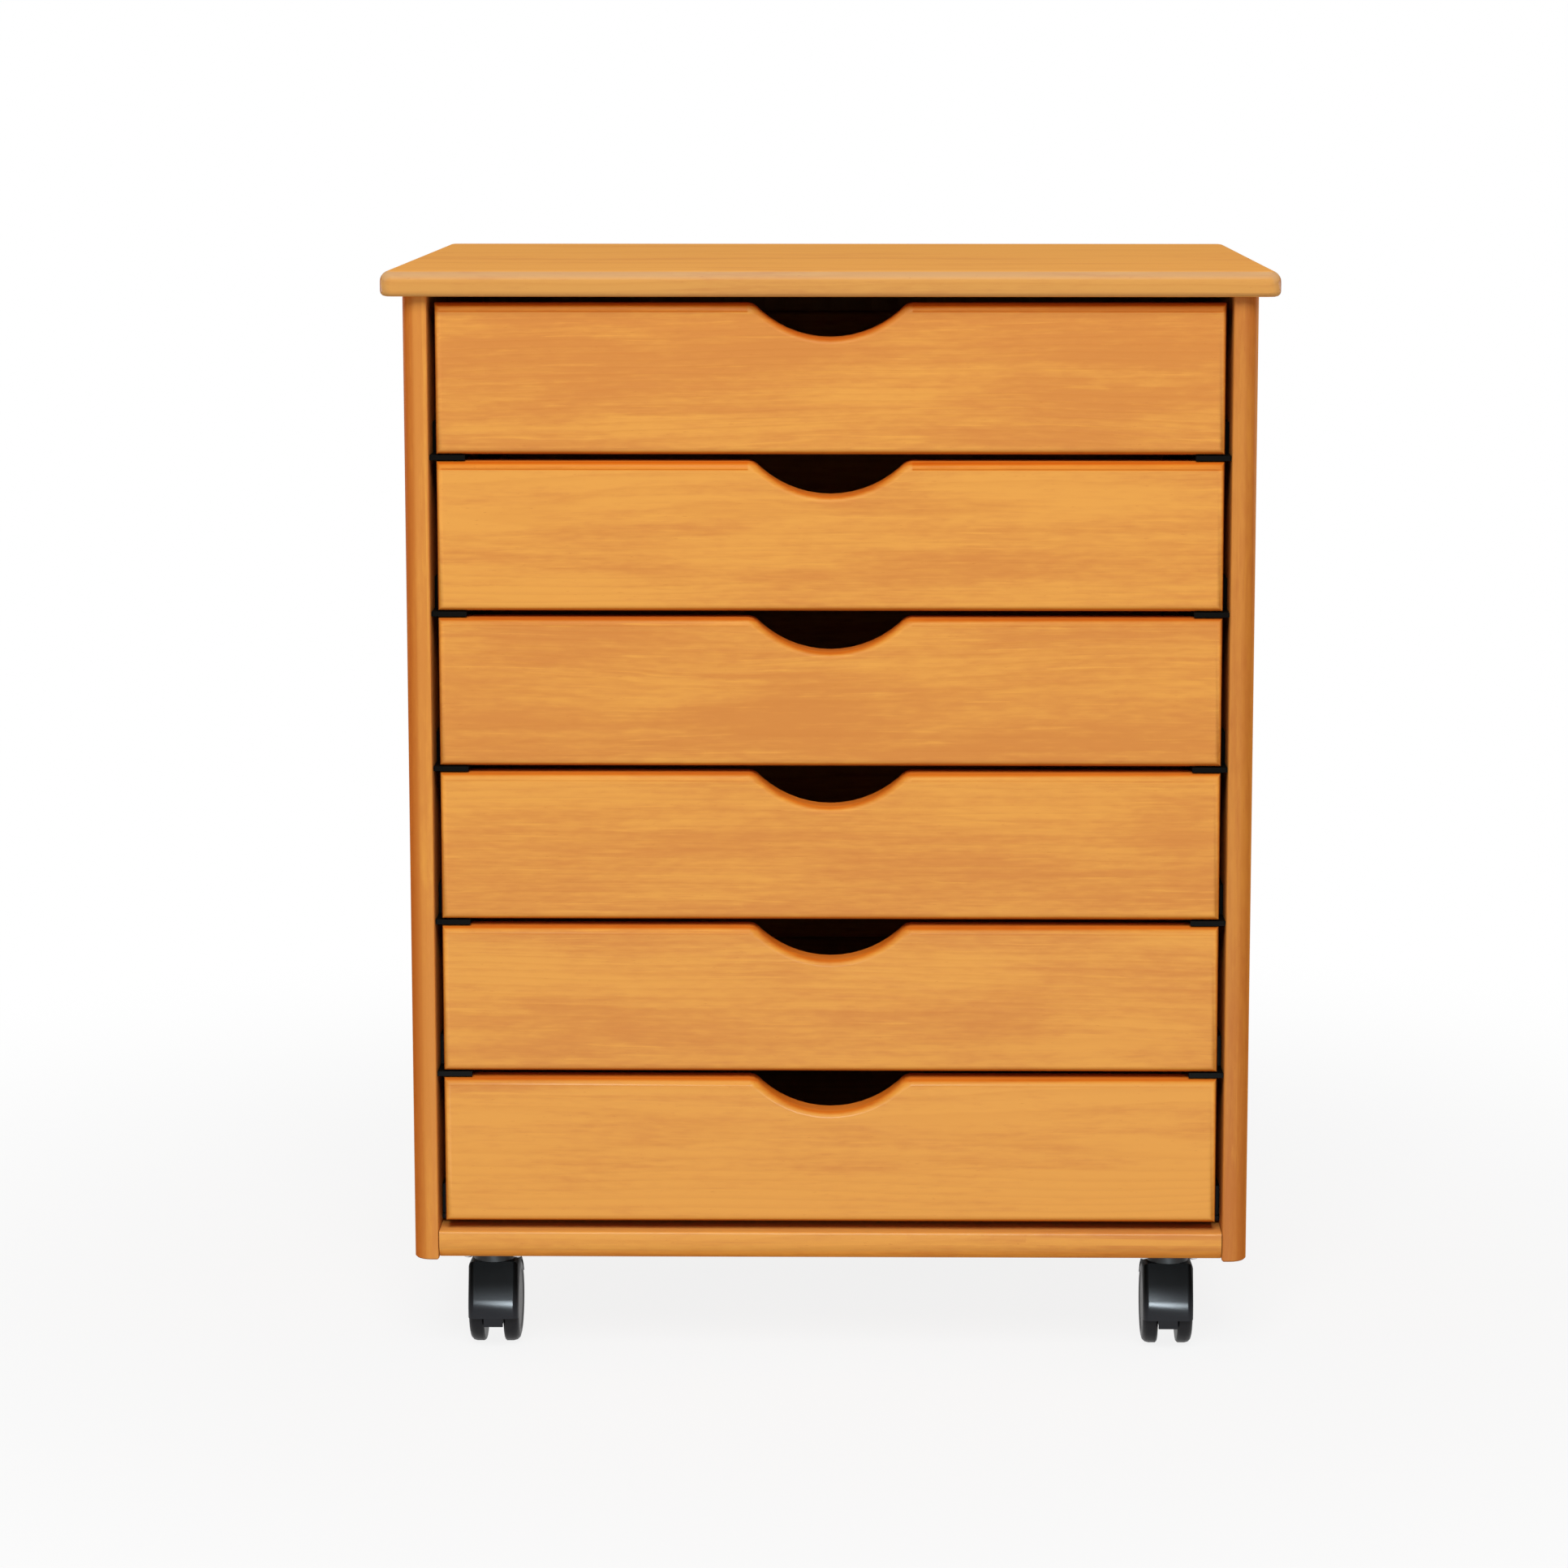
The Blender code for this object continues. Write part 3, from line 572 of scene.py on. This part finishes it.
def black_steel():
    """Pressed steel under a thin black coat that has gone a little grey at its high spots."""
    finish = Finish("black_steel")
    here = finish.here()
    peel = finish.noise(here, PEELS)
    rub = finish.noise(here, RUBS, detail=4.0, roughness=0.7).above(*RUB_LEVELS)
    base = finish.mixed(rub * RUB_SHARE, COAT_BLACK, COAT_RUBBED)
    roughness = COAT_ROUGHNESS - rub * RUB_SMOOTHING + (peel - 0.5) * PEEL_ROUGHNESS
    return finish.set(Base_Color=base, Roughness=roughness, Specular_IOR_Level=COAT_SPECULAR,
                      Normal=finish.bump(peel, PEEL_RELIEF))


def dress(node, material):
    """Gives a CAD node its finish and shades its round parts smooth and its flats flat."""
    piece = NODES[node]
    piece.data.materials.clear()
    piece.data.materials.append(material)
    piece.data.polygons.foreach_set("use_smooth", [True] * len(piece.data.polygons))
    weld = piece.modifiers.new("weld", "WELD")
    weld.merge_threshold = MERGE
    split = piece.modifiers.new("sharp_edges", "EDGE_SPLIT")
    split.split_angle = SMOOTH_ANGLE
    weighted = piece.modifiers.new("flat_faces", "WEIGHTED_NORMAL")
    weighted.keep_sharp = True


# Carcass boards. Each side panel has its log's seed, its outer side and its two tints of painted shade, for
# its rounded edges and its narrow sides.
CARCASS_BOARDS = 4
TOP_SEED = 11
TOP_WARMTH = 0.14
BOTTOM_SEED = 37
BOTTOM_WARMTH = 0.32
BACK_PANEL_SEED = 5
PANEL_WARMTH = 0.75
PANEL_EDGE_TURN = 0.08
PANEL_OUTER_REACH = (-2.5 * MM, 7 * MM)
PANELS = {
    "left": (23, -1, LEFT_EDGE_SHADE_TINT, LEFT_SIDE_SHADE_TINT),
    "right": (24, 1, RIGHT_EDGE_SHADE_TINT, RIGHT_SIDE_SHADE_TINT)}


def dress_carcass():
    # The top board gets a painted highlight on its upper rounded edge and a painted reflection on its narrow
    # sides.
    top = honey_pine("pine_top", "top_panel", X, Z, TOP_SEED, TOP_WARMTH, boards=CARCASS_BOARDS,
                     outer_side=1, edge_shading_tint=TOP_EDGE_HIGHLIGHT_TINT, side_shading_tint=TOP_SIDE_HAZE_TINT)
    dress("top_panel", top)
    for side, (seed, outer_side, edge_shading_tint, side_shading_tint) in PANELS.items():
        node = f"{side}_side_panel"
        dress(node, honey_pine(f"pine_{side}_panel", node, Z, X, seed, PANEL_WARMTH, boards=CARCASS_BOARDS,
                               outer_side=outer_side, outer_reach=PANEL_OUTER_REACH, edge_shading_tint=edge_shading_tint,
                               side_shading_tint=side_shading_tint, edge_turn=PANEL_EDGE_TURN))
    # The bottom board's lower rounded edge gets painted light.
    bottom = honey_pine("pine_bottom", "bottom_panel", X, Z, BOTTOM_SEED, BOTTOM_WARMTH,
                        boards=CARCASS_BOARDS, outer_side=-1, edge_shading_tint=RAIL_EDGE_LIGHT_TINT)
    dress("bottom_panel", bottom)
    dress("back_panel", thin_panel("plywood_back", "back_panel", Z, Y, BACK_PANEL_SEED))
    plastic = runner_plastic()
    for side in ("left", "right"):
        dress(f"{side}_runner_frame", plastic)


# Drawer fronts, from the top down: warmth, middle of the log, and depth of the crease at the upper edge,
# which also sets how strong its painted shade is
FRONT_WARMTHS = (0.64, 0.32, 0.66, 0.42, 0.40, 0.16)
FRONT_HEARTS = (-70 * MM, 20 * MM, -12 * MM, 55 * MM, -35 * MM, 15 * MM)
FRONT_CREASES = (0.9, 0.95, 0.25, 0.3, 0.3, 0.25)
FRONT_CREASE_DROP = 4.7 * MM
GRIP_REACH = 47 * MM

# Drawer boxes, whose edges are hardly rounded and get only part of the painted edge shade. Each kind of
# board has its own run of seeds.
BOX_EDGE_SHARE = 0.4
SIDE_WARMTH = 0.35
BACK_WARMTH = 0.4
FRONT_SEED = 50
SIDE_SEEDS = {"left": 70, "right": 80}
BACK_SEED = 100


def dress_drawers():
    for number, warmth, heart, depth in zip(DRAWERS, FRONT_WARMTHS, FRONT_HEARTS, FRONT_CREASES):
        drawer = f"drawer_{number}"
        front = f"{drawer}_front"
        low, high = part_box(front)
        crease = ((high - low).z / 2 - FRONT_CREASE_DROP, GRIP_REACH, depth)
        dress(front, honey_pine(f"pine_front_{number}", front, X, Y, FRONT_SEED + number, warmth, heart,
                                crease=crease, edge_shading_tint=FRONT_EDGE_SHADE_TINT, crown_shade_tint=FRONT_CROWN_SHADE_TINT))
        for side, seed in SIDE_SEEDS.items():
            node = f"{drawer}_{side}_side"
            dress(node, honey_pine(f"pine_{side}_side_{number}", node, Y, X, seed + number, SIDE_WARMTH,
                                   edge_share=BOX_EDGE_SHARE))
        back = f"{drawer}_back"
        dress(back, honey_pine(f"pine_back_{number}", back, X, Y, BACK_SEED + number, BACK_WARMTH,
                               edge_share=BOX_EDGE_SHARE))
        floor = f"{drawer}_bottom"
        dress(floor, thin_panel(f"plywood_bottom_{number}", floor, X, Z, number))


def dress_casters(steel):
    hood = black_plastic("hood_plastic", HOOD_SHADED_BLACK, HOOD_REFLECTION_FOOT)
    tread = black_plastic("wheel_plastic", WHEEL_BLACK)
    plate = black_steel()
    for spot in CASTERS:
        dress(f"caster_{spot}_hood", hood)
        dress(f"caster_{spot}_axle", steel)
        dress(f"caster_{spot}_plate", plate)
        for side in ("left", "right"):
            dress(f"caster_{spot}_wheel_{side}", tread)


# Small fasteners. Each screw is turned by SCREW_TURN, in radians, past the one before it.
PLATE_THICKNESS = 2.2 * MM
SCREW_SPACING_SHARE = 0.763
SCREW_RADIUS = 3.3 * MM
SCREW_HEIGHT = 1.7 * MM
SCREW_TURN = 2.3
RECESS_RADIUS = 1.3 * MM
RECESS_FLOOR_RADIUS = 0.8 * MM
RECESS_DEPTH = 0.9 * MM
RECESS_LOBES = 4
RECESS_LOBE_SHARE = 0.4
NAIL_COUNT = 5
NAIL_ROW_SHARE = 0.86
NAIL_RADIUS = 1.6 * MM
NAIL_HEIGHT = 0.35 * MM
HEAD_STEPS = 24
DOME_STEPS = 5


def domed_head(radius, height, recess=()):
    """A fastener's head with its flat side at Z = 0 and its dome upwards. A recess is the points of its
    outline, from its rim to its middle."""
    bm = bmesh.new()
    ends = recess or [(0.0, height)]
    turns = [pi / 2 * step / DOME_STEPS for step in range(DOME_STEPS)]
    dome = [(ends[0][0] + (radius - ends[0][0]) * cos(turn), height * sin(turn)) for turn in turns]
    points = [bm.verts.new((across, 0.0, up)) for across, up in [(0.0, 0.0), *dome, *ends]]
    edges = [bm.edges.new(pair) for pair in zip(points, points[1:])]
    bmesh.ops.spin(bm, geom=points + edges, axis=(0, 0, 1), cent=(0, 0, 0), angle=2 * pi,
                   steps=HEAD_STEPS, use_merge=True)
    bmesh.ops.remove_doubles(bm, verts=bm.verts, dist=MERGE / 2)
    bmesh.ops.recalc_face_normals(bm, faces=bm.faces)
    return bm


def screw_head():
    """A pan head with a cross recess: the recess is turned, then drawn out into four lobes."""
    deep = SCREW_HEIGHT - RECESS_DEPTH
    bm = domed_head(SCREW_RADIUS, SCREW_HEIGHT, [
        (RECESS_RADIUS, SCREW_HEIGHT), (RECESS_FLOOR_RADIUS, deep), (0.0, deep)])
    for vert in bm.verts:
        if vert.co.xy.length < RECESS_RADIUS + MERGE:
            turn = atan2(vert.co.y, vert.co.x)
            vert.co.xy *= 1 + RECESS_LOBE_SHARE * cos(RECESS_LOBES * turn)
    return bm


def placed(name, bm, places, material, body):
    """One piece that holds a copy of the shape at each place, riding on a body."""
    pattern = bpy.data.meshes.new(f"{name}_pattern")
    bm.to_mesh(pattern)
    bm.free()
    whole = bmesh.new()
    for place in places:
        known = len(whole.verts)
        whole.from_mesh(pattern)
        whole.verts.ensure_lookup_table()
        bmesh.ops.transform(whole, matrix=place, verts=whole.verts[known:])
    mesh = bpy.data.meshes.new(name)
    whole.to_mesh(mesh)
    whole.free()
    mesh.materials.append(material)
    mesh.polygons.foreach_set("use_smooth", [True] * len(mesh.polygons))
    piece = bpy.data.objects.new(name, mesh)
    bpy.context.scene.collection.objects.link(piece)
    split = piece.modifiers.new("sharp_edges", "EDGE_SPLIT")
    split.split_angle = SMOOTH_ANGLE
    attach(piece, body)


def fasten_casters(steel):
    """Four screws under each caster plate, each head turned its own way."""
    for number, spot in enumerate(CASTERS):
        low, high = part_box(f"caster_{spot}_plate")
        middle = (low + high) / 2
        reach = (high - low).x / 2 * SCREW_SPACING_SHARE
        places = []
        for corner, (side, end) in enumerate(((-1, -1), (1, -1), (1, 1), (-1, 1))):
            at = Vector((middle.x + side * reach, middle.y + end * reach, high.z - PLATE_THICKNESS))
            turn = Matrix.Rotation(number + corner * SCREW_TURN, 4, "Z")
            places.append(Matrix.Translation(at) @ turn @ Matrix.Rotation(pi, 4, "X"))
        placed(f"caster_{spot}_screws", screw_head(), places, steel, "root")


def nail_back(steel):
    """A row of nails through the back panel into the rear edge of the bottom board."""
    low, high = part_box("back_panel")
    height = (BOTTOM_BOARD[0].z + BOTTOM_BOARD[1].z) / 2
    reach = (high - low).x / 2 * NAIL_ROW_SHARE
    backwards = Matrix.Rotation(-pi / 2, 4, "X")
    steps = [2 * number / (NAIL_COUNT - 1) - 1 for number in range(NAIL_COUNT)]
    places = [Matrix.Translation((reach * step, high.y, height)) @ backwards for step in steps]
    placed("back_panel_nails", domed_head(NAIL_RADIUS, NAIL_HEIGHT), places, steel, "root")


# Camera. Angles are in radians, the shifts in frames, and the focal length is for a frame in pixels.
CAMERA_PLACE = (0.0275, -2.650, 0.7657)
CAMERA_TILT = 0.1397
CAMERA_YAW = 0.01092
FOCAL_PIXELS = 5244.8
FRAME_PIXELS = 1932
SENSOR_WIDTH = 36.0
FRAMING_SHIFT = -0.074
FRAMING_SIDE_SHIFT = -0.03

# Floor and world, in linear colour
FLOOR_HALF = 14.0
FLOOR_GREY = (0.56, 0.56, 0.56)
FLOOR_WHITE_SHARE = 0.86
FADE_START = 0.35
FADE_END = 1.1
WHITE = (1.0, 1.0, 1.0, 1.0)
MIRRORED_RAYS = ("Is Glossy Ray", "Is Transmission Ray")
AMBIENT = 0.45

# Lamps: a key, a weak bluish strip for the sheen on the front casters, and a fill for each side panel
MIDDLE = (0.0, 0.0, 0.33)
KEY_PLACE = (-0.1, -4.2, 4.3)
KEY_WIDTH = 2.8
KEY_ENERGY = 254.0
SHEEN_PLACE = (-0.02, -1.9, 0.15)
SHEEN_TARGET = (-0.02, -0.17, 0.03)
SHEEN_WIDTH = 0.9
SHEEN_HEIGHT = 0.3
SHEEN_ENERGY = 1.0
SHEEN_COLOUR = (0.80, 0.92, 1.0)
SHEEN_SPREAD = radians(14)
FILL_SIDE = 3.5
FILL_DEPTH = 2.5
FILL_RISE = 0.38
FILL_WIDTH = 1.8
FILL_HEIGHT = 0.7
FILL_ENERGY = 50.0


def build_camera():
    lens = bpy.data.cameras.new("camera")
    lens.sensor_width = SENSOR_WIDTH
    lens.lens = FOCAL_PIXELS / FRAME_PIXELS * SENSOR_WIDTH
    lens.shift_x = FRAMING_SIDE_SHIFT
    lens.shift_y = FRAMING_SHIFT
    camera = bpy.data.objects.new("camera", lens)
    bpy.context.scene.collection.objects.link(camera)
    camera.location = CAMERA_PLACE
    camera.rotation_euler = (pi / 2 - CAMERA_TILT, 0.0, CAMERA_YAW)
    bpy.context.scene.camera = camera


def build_floor():
    """A pale floor that keeps the shadow near the cart and turns white further out."""
    bm = bmesh.new()
    bmesh.ops.create_grid(bm, x_segments=1, y_segments=1, size=FLOOR_HALF)
    mesh = bpy.data.meshes.new("floor")
    bm.to_mesh(mesh)
    bm.free()
    floor = bpy.data.objects.new("floor", mesh)
    bpy.context.scene.collection.objects.link(floor)
    finish = Finish("pale_floor")
    x, y, _ = finish.split(finish.here())
    reach = (x ** 2 + y ** 2) ** 0.5
    seen = finish.add("ShaderNodeLightPath", output="Is Camera Ray")
    for ray in MIRRORED_RAYS:
        seen = seen.most(finish.add("ShaderNodeLightPath", output=ray))
    finish.set(Base_Color=finish.colour(FLOOR_GREY), Roughness=0.9, Specular_IOR_Level=0.0)
    glow = finish.add("ShaderNodeEmission", {}, {"Color": WHITE, "Strength": 1.0})
    plain = Socket(finish, finish.shader.outputs[0])
    white = reach.above(FADE_START, FADE_END) * (1 - FLOOR_WHITE_SHARE) + FLOOR_WHITE_SHARE
    shown = finish.add("ShaderNodeMixShader", {}, {0: white * seen, 1: plain, 2: glow})
    finish.feed(finish.tree.nodes["Material Output"].inputs["Surface"], shown)
    mesh.materials.append(finish.material)


def build_world():
    """White behind the cart for the camera and for reflections, and a plain grey light on it."""
    world = bpy.data.worlds.new("studio")
    bpy.context.scene.world = world
    world.use_nodes = True
    tree = world.node_tree
    paths = tree.nodes.new("ShaderNodeLightPath")
    seen = paths.outputs["Is Camera Ray"]
    for ray in MIRRORED_RAYS:
        either = tree.nodes.new("ShaderNodeMath")
        either.operation = "MAXIMUM"
        tree.links.new(seen, either.inputs[0])
        tree.links.new(paths.outputs[ray], either.inputs[1])
        seen = either.outputs[0]
    background = tree.nodes["Background"]
    level = tree.nodes.new("ShaderNodeMapRange")
    level.inputs["To Min"].default_value = AMBIENT
    tree.links.new(seen, level.inputs["Value"])
    background.inputs["Color"].default_value = WHITE
    tree.links.new(level.outputs[0], background.inputs["Strength"])


def softbox(name, place, target, width, height, energy):
    lamp = bpy.data.lights.new(name, "AREA")
    lamp.shape = "RECTANGLE"
    lamp.size = width
    lamp.size_y = height
    lamp.energy = energy
    light = bpy.data.objects.new(name, lamp)
    bpy.context.scene.collection.objects.link(light)
    light.location = place
    light.rotation_euler = (Vector(target) - Vector(place)).to_track_quat("-Z", "Y").to_euler()
    return light


def build_studio():
    build_floor()
    build_world()
    softbox("key", KEY_PLACE, MIDDLE, KEY_WIDTH, KEY_WIDTH, KEY_ENERGY)
    sheen = softbox("sheen_on_casters", SHEEN_PLACE, SHEEN_TARGET, SHEEN_WIDTH, SHEEN_HEIGHT, SHEEN_ENERGY)
    sheen.data.color = SHEEN_COLOUR
    sheen.data.spread = SHEEN_SPREAD
    sheen.visible_diffuse = False
    sheen.visible_camera = False
    for side in (-1, 1):
        place = (side * FILL_SIDE, FILL_DEPTH, FILL_RISE)
        fill = softbox(f"fill_{side}", place, MIDDLE, FILL_WIDTH, FILL_HEIGHT, FILL_ENERGY)
        fill.visible_camera = False
    bpy.context.scene.view_settings.view_transform = "Standard"


dress_carcass()
dress_drawers()
zinc = zinc_steel()
dress_casters(zinc)
fasten_casters(zinc)
nail_back(zinc)
build_camera()
build_studio()
